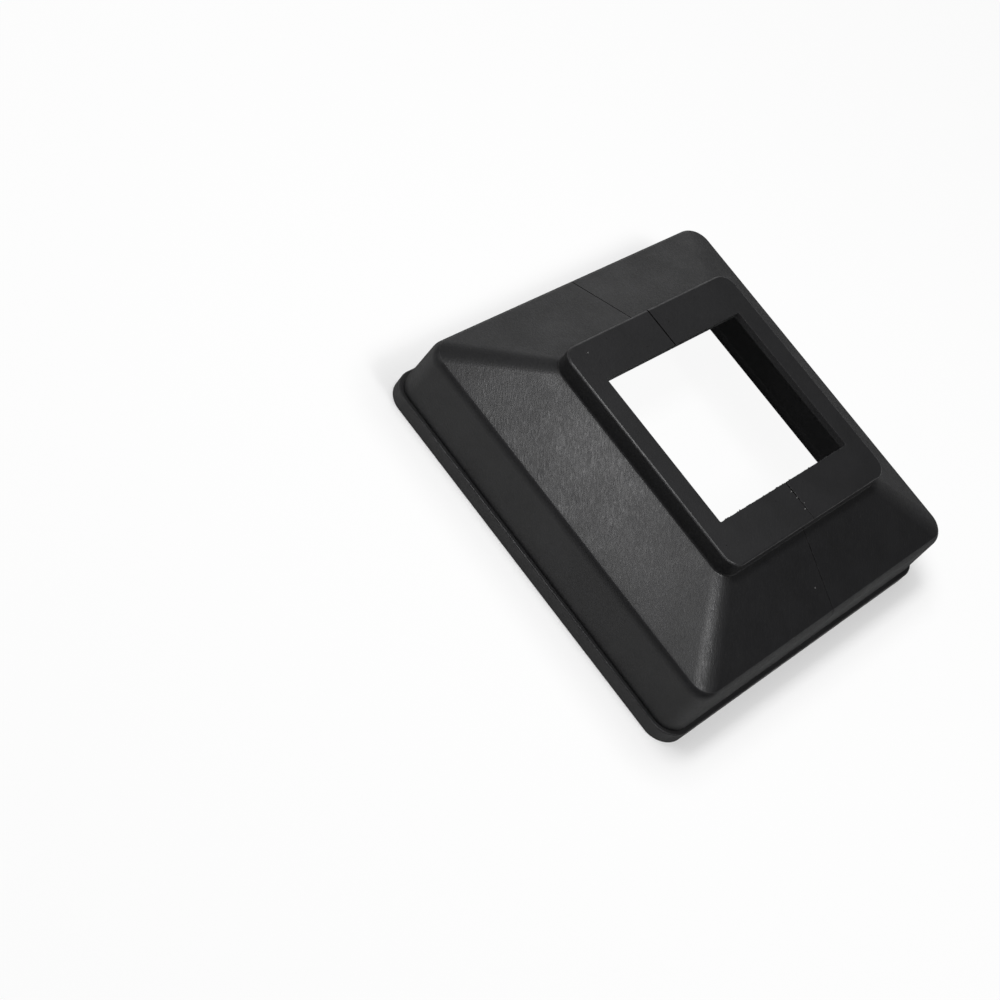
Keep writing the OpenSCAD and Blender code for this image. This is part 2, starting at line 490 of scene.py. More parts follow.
def matt_core_side_polypropylene(finish):
    """The same black polypropylene where it lay against the mould's unpolished core.

    The inside is duller and rougher than the skin, with a sandy grain, and hardly shines.
    """
    material, tree, place = new_material("matt_core_side_polypropylene")
    sand_size, patch_size, sand_depth = 0.8 * MM, 30 * MM, 0.05 * MM
    sand = noise(tree, place, sand_size, detail=3.0)
    # Wide patches show where the core was more or less worn
    patches = noise(tree, place, patch_size, detail=2.0)
    worn_share = ramp(tree, patches, [(0.35, 0.36), (0.7, 0.6)])
    colour = mixed(tree, worn_share, finish.plastic, finish.plastic_worn_and_highlight)
    roughest, smoothest = 0.86, 0.72
    roughness = spread(tree, sand, NOISE_SPAN, (roughest, smoothest))
    surface = bumped(tree, sand, sand_depth)
    polypropylene(tree, colour, roughness, gloss=0.1, surface=surface)
    return material


def torn_polypropylene(finish):
    """Torn and stress-whitened polypropylene, left by the trimming knife: chalky pale flecks."""
    material, tree, place = new_material("torn_polypropylene")
    chalk_size, chalk_depth = 0.3 * MM, 0.05 * MM
    chalk = noise(tree, place, chalk_size, detail=2.0)
    chalky = ramp(tree, chalk, [(0.4, 0.0), (0.65, 1.0)])
    colour = mixed(tree, chalky, finish.plastic_worn_and_highlight, finish.plastic_pale)
    surface = bumped(tree, chalk, chalk_depth)
    polypropylene(tree, colour, roughness=0.7, gloss=0.5, surface=surface)
    return material


def merged_form(node):
    """The CAD node's mesh as a closed form with its flat faces whole"""
    form = bmesh.new()
    form.from_mesh(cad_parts[node].data)
    bmesh.ops.remove_doubles(form, verts=form.verts, dist=WELD)
    bmesh.ops.dissolve_limit(form, angle_limit=FLAT_ANGLE, verts=form.verts, edges=form.edges)
    return form


def soften(form, chosen, width):
    """Round the convex arrises that have both ends where chosen(place) is true"""
    arrises = []
    for edge in form.edges:
        if len(edge.link_faces) != 2 or not edge.is_convex or edge.calc_face_angle() < ARRIS_ANGLE:
            continue
        if chosen(edge.verts[0].co) and chosen(edge.verts[1].co):
            arrises.append(edge)
    bmesh.ops.bevel(
        form, geom=arrises, offset=width, offset_type="OFFSET", segments=2, profile=0.5,
        affect="EDGES", clamp_overlap=False, loop_slide=True,
    )


# A ring is an outline of the outer face at one height: a square with round corners, given as
# (half size, height), or as (half size, height, corner radius)


def square_to(tilt):
    """Direction straight out of a face with that tilt, along (half size, height)"""
    return Vector((math.sin(tilt), math.cos(tilt)))


def bend(tip, radius, upper_tilt, lower_tilt, steps):
    """Rings down a round bend between two faces that would meet in a sharp edge at the tip"""
    turn = lower_tilt - upper_tilt
    centre = tip - square_to(upper_tilt + turn / 2) * radius / math.cos(turn / 2)
    return [centre + radius * square_to(upper_tilt + turn * i / steps) for i in range(steps + 1)]


def creased_shoulder(tip, old_rings, sizes):
    """New shoulder rings: the slope runs on to a crease, and a slack bend leads to the wall"""
    # The crease is a strip from the slope to a ring that lies a little way round the slack bend
    steps, first_turn, rings_on_slope = 6, math.radians(2), 2
    foot = old_rings[-1]
    down_slope = Vector((math.cos(SLOPE_TILT), -math.sin(SLOPE_TILT)))
    start = SLOPE_TILT + sizes.crease_turn
    half_bend = (WALL_TILT - start) / 2
    # The law of sines in the triangle of tip, crease and foot
    side_ratio = math.sin(half_bend) / math.sin(half_bend + sizes.crease_turn)
    crease = tip - down_slope * (tip - foot).length * side_ratio
    radius = (foot - crease).length / 2 / math.sin(half_bend)
    rings = [old_rings[0], crease - down_slope * sizes.crease_width / 2]
    for step in range(steps):
        tilt = start + first_turn + step / steps * (WALL_TILT - start - first_turn)
        rings.append(crease + radius * (square_to(tilt) - square_to(start)))
    rings.append(foot)
    # The hips stay tight down to the crease, and the corners open towards the wall below it
    corners = []
    for i in range(len(rings)):
        tight = 1 - max(i - rings_on_slope, 0) / steps
        corners.append(sizes.hip_radius + (SHOULDER_CORNER - sizes.hip_radius) * (1 - tight**2))
    return [(*ring, corner) for ring, corner in zip(rings, corners)]


def worn_collar_edge():
    """Rings of the collar's top edge with a worn flat on it, tilted like the slopes"""
    # How far each lies in from the collar's side and down from its top, in mm
    worn = ((1.0, 0.0), (0.40, 0.27), (0.18, 0.45), (0.045, 0.67))
    return [(COLLAR_HALF - inwards * MM, COVER_TOP - down * MM) for inwards, down in worn]


def move_rings(form, old_rings, new_rings):
    """Move rings of the outer face. One without a new corner radius keeps its corners' centres."""
    same_height, same_half, same_arc = 0.002 * MM, 0.005 * MM, 0.02 * MM
    fewest_per_ring = 30
    moves = []
    for (half, height), (new_half, new_height, *radius) in zip(old_rings, new_rings):
        level = [vert for vert in form.verts if abs(vert.co.z - height) < same_height]
        flat = [
            min(abs(vert.co.x), abs(vert.co.y)) for vert in level
            if abs(max(abs(vert.co.x), abs(vert.co.y)) - half) < same_half
        ]
        # The straight sides end where the corner's centre lies
        centre = max(flat)
        new_centre = new_half - radius[0] if radius else centre
        for vert in level:
            x, y = abs(vert.co.x), abs(vert.co.y)
            arm = Vector((max(x - centre, 0), max(y - centre, 0)))
            if abs(centre + arm.length - half) < same_arc:
                arm = arm.normalized() * (new_half - new_centre)
                # Where a side is straight, the arm is square to it and the place along it stays
                x = new_centre + arm.x if x > centre - WELD else x
                y = new_centre + arm.y if y > centre - WELD else y
                x, y = math.copysign(x, vert.co.x), math.copysign(y, vert.co.y)
                moves.append((vert, Vector((x, y, new_height))))
    if len(moves) < fewest_per_ring * len(old_rings):
        raise RuntimeError("the outlines of the outer face were not found")
    for vert, place in moves:
        vert.co = place


def sharpen_ring(mesh, half, height):
    """Keep the edges of one ring sharp, so that the flat beside it is lit as a whole"""
    # The round corners come in by less than this
    least = half - 3 * MM
    for edge in mesh.edges:
        ends = [mesh.vertices[i].co for i in edge.vertices]
        level = all(abs(end.z - height) < TOUCH for end in ends)
        if level and all(max(abs(end.x), abs(end.y)) > least for end in ends):
            edge.use_edge_sharp = True


def mark_arrises(form, crease_top, crease_foot):
    """Store on each face corner its wear and painted highlight: on tight bends, on a hip and at the
    crease
    """
    layer = form.loops.layers.float.new(WEAR_AND_HIGHLIGHT)
    # A bend is in radians per metre: up to gentle it isn't marked, and from tight on it is in full
    gentle, tight, bend_wear_and_highlight, crease_wear_and_highlight = 150.0, 1000.0, 0.6, 0.5
    # The least upward part of the normals of the slopes and of the crease
    slope_upwards, crease_upwards = 0.85, 0.5
    # No face is taken to be smaller, so that a sliver has a bend too
    least_area = 1e-12
    # A band of wear and painted highlight lies a little to the -X side of the hip between the -X
    # and -Y slopes
    hip_band_beside, hip_band_half, hip_band_peak = 4 * MM, 5.5 * MM, 1.6
    # It fades from the collar down to the crease
    hip_band_drop, hip_band_least = 17 * MM, 0.15
    for face in form.faces:
        turn = sum(
            max(edge.calc_face_angle_signed(0.0), 0.0) * edge.calc_length() / 2
            for edge in face.edges if len(edge.link_faces) == 2
        )
        face_bend = turn / max(face.calc_area(), least_area)
        value = bend_wear_and_highlight * min(max((face_bend - gentle) / (tight - gentle), 0.0), 1.0)
        middle = face.calc_center_median()
        on_slope = crease_top < middle.z < SLOPE_TOP and face.normal.z > slope_upwards
        in_hip_band = on_slope and middle.x < 0 and middle.y < 0
        # The crease strip counts as worn, which paints it paler as a highlight line
        if crease_foot < middle.z < crease_top and face.normal.z > crease_upwards:
            value = max(value, crease_wear_and_highlight)
        for loop in face.loops:
            loop[layer] = value
            if in_hip_band:
                beside = loop.vert.co.y - loop.vert.co.x
                hip_band_share = min(hip_band_peak * (1 - abs(beside - hip_band_beside) / hip_band_half), 1.0)
                up = (loop.vert.co.z - crease_top) / hip_band_drop
                loop[layer] = max(value, hip_band_share * (hip_band_least + (1 - hip_band_least) * up))


def at_foot(place):
    """True on the rim's lower outer edge"""
    return place.z < TOUCH and max(abs(place.x), abs(place.y)) > RIM_HALF - NEAR


def at_seam(place):
    """True on either half's face at the seam"""
    return abs(place.x) < SEAM_HALF + SEAM_RELIEF + NEAR


def at_collar_seam(place):
    """True where the seam crosses the outside of the collar at +Y"""
    collar_foot = SLOPE_TOP - 1.5 * MM
    return abs(place.x) < SEAM_HALF + TOUCH and place.y > 0 and place.z > collar_foot


def at_opening(place):
    """True round the post opening, through the thickness of the collar's top"""
    below_collar = COVER_TOP - 6 * MM
    inside = abs(place.x) < OPENING_HALF_X + NEAR and abs(place.y) < OPENING_HALF_Y + NEAR
    return inside and place.z > below_collar


def mark_seam_dust_and_shade(form):
    """Store on each face corner whether its face lies in the seam, which gets dust and painted
    shade
    """
    layer = form.loops.layers.float.new(SEAM_DUST_AND_SHADE)
    reach, past_gap = SEAM_HALF + 0.5 * MM, 1.1 * SEAM_HALF
    for face in form.faces:
        in_seam = all(abs(vert.co.x) < reach for vert in face.verts)
        # At -Y the right half's arris is left without dust and painted shade
        middle = face.calc_center_median()
        left_unpainted = middle.x > past_gap and middle.y < 0
        for loop in face.loops:
            loop[layer] = 1.0 if in_seam and not left_unpainted else 0.0


def looks_inward(face):
    """True for the faces of the core side, which is the inside with its lips and clips"""
    # The outside's arrises at the foot and the top, and the space that only the clips stand in
    foot_arris, top_arris = 2 * MM, 0.5 * MM
    clips_half, clips_top = RIM_HALF - 8.5 * MM, 36 * MM
    # Normals with less than these upward and outward parts face down and face in
    least_up, least_out = -0.5, -0.2
    middle = face.calc_center_median()
    outwards = Vector((middle.x, middle.y, 0)).normalized()
    faces_down = face.normal.z < least_up and middle.z > foot_arris
    faces_in = face.normal.dot(outwards) < least_out and middle.z < COVER_TOP - top_arris
    on_clips = max(abs(middle.x), abs(middle.y)) < clips_half and middle.z < clips_top
    return faces_down or faces_in or on_clips


class COVER_OT_dress_halves(bpy.types.Operator):
    """Replace each CAD half by its own mesh with softened arrises and smooth bends"""

    bl_idname = "post_cover.dress_halves"
    bl_label = "Dress the halves"

    def execute(self, context):
        finish = context.scene.cover_finish
        sizes = context.scene.arris_sizes
        core_side = matt_core_side_polypropylene(finish)
        tip = Vector((SHOULDER_HALF, SHOULDER_HEIGHT))
        shoulder = bend(tip, SHOULDER_RADIUS, SLOPE_TILT, WALL_TILT, SHOULDER_STEPS)
        creased = creased_shoulder(tip, shoulder, sizes)
        collar_tip = Vector((COLLAR_HALF, COVER_TOP))
        collar = bend(collar_tip, COLLAR_EDGE_RADIUS, LEVEL, UPRIGHT, COLLAR_EDGE_STEPS)
        worn = worn_collar_edge()
        for node in HALVES:
            form = merged_form(node)
            move_rings(form, shoulder, creased)
            # The lowest ring of the collar's edge stays
            move_rings(form, collar[:-1], worn)
            soften(form, at_foot, sizes.foot_round)
            soften(form, at_collar_seam, sizes.collar_seam_round)
            soften(form, lambda place: at_seam(place) or at_opening(place), sizes.seam_round)
            form.normal_update()
            # The crease is the strip between the second and the third ring
            mark_arrises(form, creased[1][1] + TOUCH, creased[2][1] - TOUCH)
            mark_seam_dust_and_shade(form)
            for face in form.faces:
                face.material_index = 1 if looks_inward(face) else 0
            mesh = bpy.data.meshes.new(node + "_skin")
            form.to_mesh(mesh)
            form.free()
            mesh.shade_smooth()
            mesh.set_sharp_from_angle(angle=SHARP_ANGLE)
            sharpen_ring(mesh, *worn[0])
            piece = new_object(node + "_skin", mesh)
            keep_flat = piece.modifiers.new("keep_flats_flat", "WEIGHTED_NORMAL")
            keep_flat.keep_sharp = True
            # Large faces decide how their corners are lit
            keep_flat.weight = 100
            mesh.materials.append(satin_moulded_polypropylene(finish, node))
            mesh.materials.append(core_side)
            settle(piece)
            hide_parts(node)
        return {"FINISHED"}


def surface_tree():
    """Search tree over both CAD halves"""
    form = bmesh.new()
    for node in HALVES:
        form.from_mesh(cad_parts[node].data)
    tree = BVHTree.FromBMesh(form)
    form.free()
    return tree


def top_below(surface, x, y):
    """Highest point of the cover at a place seen from above, or None beside it"""
    return surface.ray_cast(Vector((x, y, HIGH_ABOVE)), STRAIGHT_DOWN)[0]


def flash_plastic():
    """The right half's skin, which the flash and the dark nibs are made of"""
    return bpy.data.materials[SKIN + "right_half"]


def edge_path(points, name):
    """Object whose mesh is a chain of edges through the points"""
    mesh = bpy.data.meshes.new(name)
    mesh.from_pydata(points, [(i, i + 1) for i in range(len(points) - 1)], [])
    return new_object(name, mesh)


def node_group(name, inputs):
    """Geometry Nodes tree with a geometry input and output, and named inputs with their defaults"""
    tree = bpy.data.node_groups.new(name, "GeometryNodeTree")
    tree.interface.new_socket("Geometry", in_out="INPUT", socket_type="NodeSocketGeometry")
    for label, kind, default in inputs:
        socket = tree.interface.new_socket(label, in_out="INPUT", socket_type=kind)
        if default is not None:
            socket.default_value = default
    tree.interface.new_socket("Geometry", in_out="OUTPUT", socket_type="NodeSocketGeometry")
    return tree, tree.nodes.new("NodeGroupInput").outputs, tree.nodes.new("NodeGroupOutput").inputs


def even_curve(tree, given):
    """The path that is given, as a curve with evenly spaced points"""
    curve = add(tree, "GeometryNodeMeshToCurve", {"Mesh": given["Geometry"]})
    links = {"Curve": curve.outputs[0], "Length": given["Spacing"]}
    return add(tree, "GeometryNodeResampleCurve", links, mode="LENGTH").outputs[0]


def ragged(tree, given, lump_length, detail, roughness, fullest, span):
    """Value that comes and goes along a path, and is at the span's low end on bare stretches"""
    links = {
        "W": given["Seed"],
        "Scale": maths(tree, "DIVIDE", 1.0, lump_length),
        "Detail": detail,
        "Roughness": roughness,
    }
    lumps = add(tree, "ShaderNodeTexNoise", links, noise_dimensions="4D").outputs["Fac"]
    return spread(tree, lumps, (given["Bareness"], fullest), span)


def hand_out(tree, given, result, made):
    """End a tree with real geometry in the given material"""
    whole = add(tree, "GeometryNodeRealizeInstances", {"Geometry": made})
    links = {"Geometry": whole.outputs[0], "Material": given["Material"]}
    finished = add(tree, "GeometryNodeSetMaterial", links)
    tree.links.new(finished.outputs[0], result["Geometry"])


def ragged_bead_tree():
    """A bead of flash along a path, whose radius comes and goes"""
    tree, given, result = node_group("ragged_bead", [
        ("Spacing", "NodeSocketFloat", 0.5 * MM),
        ("Radius", "NodeSocketFloat", 0.25 * MM),
        ("Lump length", "NodeSocketFloat", 3 * MM),
        ("Bareness", "NodeSocketFloat", 0.45),
        ("Seed", "NodeSocketFloat", 1.0),
        ("Material", "NodeSocketMaterial", None),
    ])
    circle_links = {"Resolution": 6, "Radius": given["Radius"]}
    section = add(tree, "GeometryNodeCurvePrimitiveCircle", circle_links)
    links = {
        "Curve": even_curve(tree, given),
        "Profile Curve": section.outputs[0],
        "Scale": ragged(
            tree, given, given["Lump length"],
            detail=3.0, roughness=0.7, fullest=0.75, span=(0.02, 1.0),
        ),
        "Fill Caps": True,
    }
    bead = add(tree, "GeometryNodeCurveToMesh", links)
    hand_out(tree, given, result, bead.outputs[0])
    return tree


def ragged_fin_tree():
    """A thin ragged fin that stands out from a path in one direction"""
    tree, given, result = node_group("ragged_fin", [
        ("Spacing", "NodeSocketFloat", 0.4 * MM),
        ("Reach", "NodeSocketVector", (0.0, 1 * MM, 0.0)),
        ("Thickness", "NodeSocketFloat", 0.2 * MM),
        ("Tooth length", "NodeSocketFloat", 2 * MM),
        ("Bareness", "NodeSocketFloat", 0.45),
        ("Seed", "NodeSocketFloat", 1.0),
        ("Material", "NodeSocketMaterial", None),
    ])
    # Share of the reach that even the bare stretches have
    root_share = 0.15
    chain = add(tree, "GeometryNodeCurveToMesh", {"Curve": even_curve(tree, given)})
    root = vector_maths(tree, "SCALE", {0: given["Reach"], "Scale": root_share})
    strip_links = {"Mesh": chain.outputs[0], "Offset": root, "Offset Scale": 1.0}
    strip = add(tree, "GeometryNodeExtrudeMesh", strip_links, mode="EDGES").outputs

    tooth = ragged(
        tree, given, given["Tooth length"],
        detail=4.0, roughness=0.75, fullest=0.72, span=(0.0, 1 - root_share),
    )
    offset = vector_maths(tree, "SCALE", {0: given["Reach"], "Scale": tooth})
    teeth_links = {"Geometry": strip["Mesh"], "Selection": strip["Top"], "Offset": offset}
    teeth = add(tree, "GeometryNodeSetPosition", teeth_links).outputs[0]

    # The extruded copy is one side of the fin, and the turned original is the other
    thick_links = {"Mesh": teeth, "Offset Scale": given["Thickness"], "Individual": False}
    thick = add(tree, "GeometryNodeExtrudeMesh", thick_links, mode="FACES")
    under = add(tree, "GeometryNodeFlipFaces", {"Mesh": teeth})
    both = add(tree, "GeometryNodeJoinGeometry")
    tree.links.new(thick.outputs["Mesh"], both.inputs[0])
    tree.links.new(under.outputs[0], both.inputs[0])
    closed_links = {"Geometry": both.outputs[0], "Distance": WELD}
    closed = add(tree, "GeometryNodeMergeByDistance", closed_links)
    hand_out(tree, given, result, closed.outputs[0])
    return tree


def scattered_nibs_tree():
    """A small torn lump at each point, of its own size and turn"""
    tree, given, result = node_group("scattered_nibs", [
        ("Smallest", "NodeSocketFloat", 0.2 * MM),
        ("Largest", "NodeSocketFloat", 0.45 * MM),
        ("Seed", "NodeSocketInt", 3),
        ("Material", "NodeSocketMaterial", None),
    ])
    lump = add(tree, "GeometryNodeMeshIcoSphere", {"Radius": 1.0, "Subdivisions": 2})
    dent_links = {"W": 4.0, "Scale": 1.6, "Detail": 1.0}
    dents = add(tree, "ShaderNodeTexNoise", dent_links, noise_dimensions="4D").outputs["Color"]
    # The noise lies round mid grey, so that is taken from it, and the dents go in and out
    mid_grey, dent_depth = (0.5, 0.5, 0.5), 1.1
    dents = vector_maths(tree, "SUBTRACT", {0: dents, 1: mid_grey})
    dents = vector_maths(tree, "SCALE", {0: dents, "Scale": dent_depth})
    torn_links = {"Geometry": lump.outputs["Mesh"], "Offset": dents}
    torn = add(tree, "GeometryNodeSetPosition", torn_links)

    # Random Value has its floats at inputs 2 and 3 and output 1, and its vectors at 0, 1 and 0
    size_links = {2: given["Smallest"], 3: given["Largest"], "Seed": given["Seed"]}
    size = add(tree, "FunctionNodeRandomValue", size_links, data_type="FLOAT")
    turn_links = {0: (0, 0, 0), 1: (math.tau, math.tau, math.tau), "Seed": given["Seed"]}
    turn = add(tree, "FunctionNodeRandomValue", turn_links, data_type="FLOAT_VECTOR")
    links = {
        "Points": given["Geometry"],
        "Instance": torn.outputs[0],
        "Rotation": turn.outputs[0],
        "Scale": size.outputs[1],
    }
    nibs = add(tree, "GeometryNodeInstanceOnPoints", links)
    hand_out(tree, given, result, nibs.outputs[0])
    return tree


def grow(piece, tree, values, smooth=True):
    """Run the tree on the piece and keep the result as a plain mesh"""
    modifier = piece.modifiers.new(tree.name, "NODES")
    modifier.node_group = tree
    for item in tree.interface.items_tree:
        if item.in_out == "INPUT" and item.name in values:
            modifier[item.identifier] = values[item.name]
    depsgraph = bpy.context.evaluated_depsgraph_get()
    mesh = bpy.data.meshes.new_from_object(piece.evaluated_get(depsgraph))
    piece.modifiers.clear()
    old = piece.data
    piece.data = mesh
    bpy.data.meshes.remove(old)
    mesh.name = piece.name
    if not mesh.polygons:
        raise RuntimeError(piece.name + " came out empty")
    form = bmesh.new()
    form.from_mesh(mesh)
    bmesh.ops.recalc_face_normals(form, faces=form.faces)
    form.to_mesh(mesh)
    form.free()
    if smooth:
        mesh.shade_smooth()
    return piece


def joined(pieces, name):
    """One object from several meshes that lie at the origin"""
    form = bmesh.new()
    for piece in pieces:
        form.from_mesh(piece.data)
    mesh = bpy.data.meshes.new(name)
    form.to_mesh(mesh)
    form.free()
    for material in pieces[0].data.materials:
        mesh.materials.append(material)
    for piece in pieces:
        old = piece.data
        bpy.data.objects.remove(piece)
        bpy.data.meshes.remove(old)
    mesh.shade_smooth()
    return new_object(name, mesh)


class COVER_OT_opening_flash(bpy.types.Operator):
    """Ragged fins of flash along the opening's two edges that the seam crosses"""

    bl_idname = "post_cover.opening_flash"
    bl_label = "Flash round the opening"

    def execute(self, context):
        sizes = context.scene.arris_sizes
        tree = ragged_fin_tree()
        # The flash stands a little below the collar's top
        z = COVER_TOP - 0.45 * MM
        # How deep the fin's root lies in the edge, and its ends near the seam and near the corner
        sunk, near_seam, near_corner = 0.1 * MM, 1.5 * MM, 54 * MM
        runs = [
            # along X from, along X to, side in Y, bareness, seed
            (-near_corner, -near_seam, -1, 0.50, 1.0),
            (near_seam, near_corner, -1, 0.56, 2.0),
            (-near_corner, -near_seam, 1, 0.57, 3.0),
            (near_seam, near_corner, 1, 0.58, 4.0),
        ]
        fins = []
        for i, (start, end, side, bare, seed) in enumerate(runs):
            y = side * (OPENING_HALF_Y + sunk)
            path = edge_path([(start, y, z), (end, y, z)], "opening_fin_%d" % i)
            fins.append(grow(path, tree, {
                "Reach": (0.0, -side * sizes.flash_reach, 0.0),
                "Thickness": sizes.flash_thick,
                "Bareness": bare,
                "Seed": seed,
                "Material": flash_plastic(),
            }, smooth=False))
        settle(joined(fins, "opening_flash"))
        return {"FINISHED"}


class COVER_OT_seam_beads(bpy.types.Operator):
    """Beads of flash along the seam and round the rim's lower edge"""

    bl_idname = "post_cover.seam_beads"
    bl_label = "Beads along seam and rim"

    def execute(self, context):
        sizes = context.scene.arris_sizes
        tree = ragged_bead_tree()
        settle(self.down_the_slopes(tree, sizes))
        settle(self.round_the_foot(tree))
        return {"FINISHED"}

    def down_the_slopes(self, tree, sizes):
        """Beads on the right half's arris, from the collar down to the bend of the shoulder"""
        surface = surface_tree()
        start, stride, most_steps, lowest = COLLAR_HALF + 0.5 * MM, 0.7 * MM, 60, 30 * MM
        # The height is taken on the slope beside the gap, and the bead lies in the gap's edge
        beside_gap, on_edge, sunk = SEAM_HALF + 0.25 * MM, SEAM_HALF + 0.12 * MM, 0.08 * MM
        beads = []
        for side, seed in ((-1, 1.0), (1, 2.0)):
            points = []
            for step in range(most_steps):
                top = top_below(surface, beside_gap, side * (start + step * stride))
                if top is None or top.z < lowest:
                    break
                points.append((on_edge, top.y, top.z - sunk))
            beads.append(grow(edge_path(points, "slope_bead"), tree, {
                "Radius": sizes.bead_radius,
                "Lump length": 5 * MM,
                "Bareness": 0.42,
                "Seed": seed,
                "Material": flash_plastic(),
            }))
        return joined(beads, "seam_flash")

    def round_the_foot(self, tree):
        """Beads inside the rim's softened arris, so that the cover gets no wider"""
        inset, first_seed = 0.26 * MM, 10.0
        run = RIM_HALF - RIM_CORNER
        feet = []
        for i in range(4):
            turn = Matrix.Rotation(math.radians(90 * i), 4, "Z")
            ends = [turn @ Vector((s * run, -RIM_HALF + inset, inset)) for s in (-1, 1)]
            feet.append(grow(edge_path([tuple(p) for p in ends], "foot_bead"), tree, {
                "Radius": inset,
                "Lump length": 4 * MM,
                "Bareness": 0.40,
                "Seed": first_seed + i,
                "Material": flash_plastic(),
            }))
        return joined(feet, "foot_flash")


class COVER_OT_nibs(bpy.types.Operator):
    """Torn nibs and flecks where the mould and the knife left them"""

    bl_idname = "post_cover.nibs"
    bl_label = "Nibs and flecks"

    def execute(self, context):
        torn = torn_polypropylene(context.scene.cover_finish)
        self.surface = surface_tree()
        self.tree = scattered_nibs_tree()
        # Pale flecks, as (x, y) in mm: four beside the seam and one at a corner of the collar,
        # and one on the -Y slope
        pale_spots = [
            (-1.4, -51.8), (-1.3, -63.1), (-7.7, -97.3), (-55.8, 63.0), (-0.9, -56.0), (1.2, -60.2),
        ]
        self.scatter("pale_nibs", pale_spots, {
            "Smallest": 0.22 * MM, "Largest": 0.42 * MM, "Seed": 3, "Material": torn,
        })
        self.scatter("dark_nibs", self.dark_spots(), {
            "Smallest": 0.12 * MM, "Largest": 0.34 * MM, "Seed": 5, "Material": flash_plastic(),
        })
        return {"FINISHED"}

    def dark_spots(self):
        """Spots in mm: along the opening's edges, two in three at -Y, and on the collar's top"""
        draw = random.Random(11)
        edge_nibs, edge_length, edge_y, edge_band = 26, 52, 46.15, 0.5
        top_nibs, top_half, top_inner, top_outer = 14, 66, 50, 68
        spots = []
        for _ in range(edge_nibs):
            side = draw.choice((-1, -1, 1))
            x = draw.uniform(-edge_length, edge_length)
            spots.append((x, side * (edge_y + draw.random() * edge_band)))
        for _ in range(top_nibs):
            x = draw.uniform(-top_half, top_half)
            spots.append((x, draw.choice((-1, 1)) * draw.uniform(top_inner, top_outer)))
        return spots

    def scatter(self, name, spots, values):
        """Piece with a nib where each spot, given from above in mm, meets the cover"""
        tops = [top_below(self.surface, x * MM, y * MM) for x, y in spots]
        mesh = bpy.data.meshes.new(name)
        mesh.from_pydata([tuple(top) for top in tops if top is not None], [], [])
        settle(grow(new_object(name, mesh), self.tree, values))


def plain_white(tree, share):
    """Share of plain white for rays that see the stage itself"""
    rays = add(tree, "ShaderNodeLightPath").outputs
    seen = maths(tree, "MAXIMUM", rays["Is Camera Ray"], rays["Is Glossy Ray"])
    seen = maths(tree, "MAXIMUM", seen, rays["Is Transmission Ray"])
    return maths(tree, "MULTIPLY", seen, share)


def painted_studio_floor(studio):
    """Matt pale paint: plain white under the opening and further out, and shaded by the rim"""
    material, tree, place = new_material("painted_studio_floor")
    # Outlines like the rim's, a square with round corners, at any distance from the middle
    straight = RIM_HALF - RIM_CORNER
    across = vector_maths(tree, "ABSOLUTE", {0: place})
    past = vector_maths(tree, "SUBTRACT", {0: across, 1: (straight,) * 3})
    past = vector_maths(tree, "MAXIMUM", {0: past, 1: (0, 0, 0)})
    arm = add(tree, "ShaderNodeVectorMath", {0: past}, operation="LENGTH").outputs["Value"]
    distance = maths(tree, "ADD", arm, straight)
    beside_rim = (RIM_HALF, RIM_HALF + studio.shadow_reach)
    share_span = (studio.shadow_white, studio.floor_white)
    outside = spread(tree, distance, beside_rim, share_span, interpolation_type="SMOOTHSTEP")
    # The change lies under the rim, where it isn't seen
    under_rim = RIM_HALF - 2 * MM
    beyond = maths(tree, "GREATER_THAN", distance, under_rim)
    share = spread(tree, beyond, WHOLE, (studio.inside_white, outside))
    matt = add(tree, "ShaderNodeBsdfDiffuse", {"Color": studio.floor, "Roughness": 0.5})
    white = add(tree, "ShaderNodeEmission", {"Color": (1, 1, 1, 1), "Strength": 1.0})
    links = {0: plain_white(tree, share), 1: matt.outputs[0], 2: white.outputs[0]}
    shader = add(tree, "ShaderNodeMixShader", links)
    add(tree, "ShaderNodeOutputMaterial", {"Surface": shader.outputs[0]})
    return material


def softbox(name, place, aim, size, brightness):
    """Area lamp at a place that faces the aim: brightness is what its surface shows"""
    lamp = bpy.data.lights.new(name, "AREA")
    lamp.shape = "RECTANGLE"
    lamp.size, lamp.size_y = size
    # An area lamp's energy is four times its area times what its surface shows
    lamp.energy = 4 * size[0] * size[1] * brightness
    holder = bpy.data.objects.new(name, lamp)
    holder.location = place
    holder.rotation_euler = (Vector(place) - Vector(aim)).to_track_quat("Z", "Y").to_euler()
    bpy.context.scene.collection.objects.link(holder)


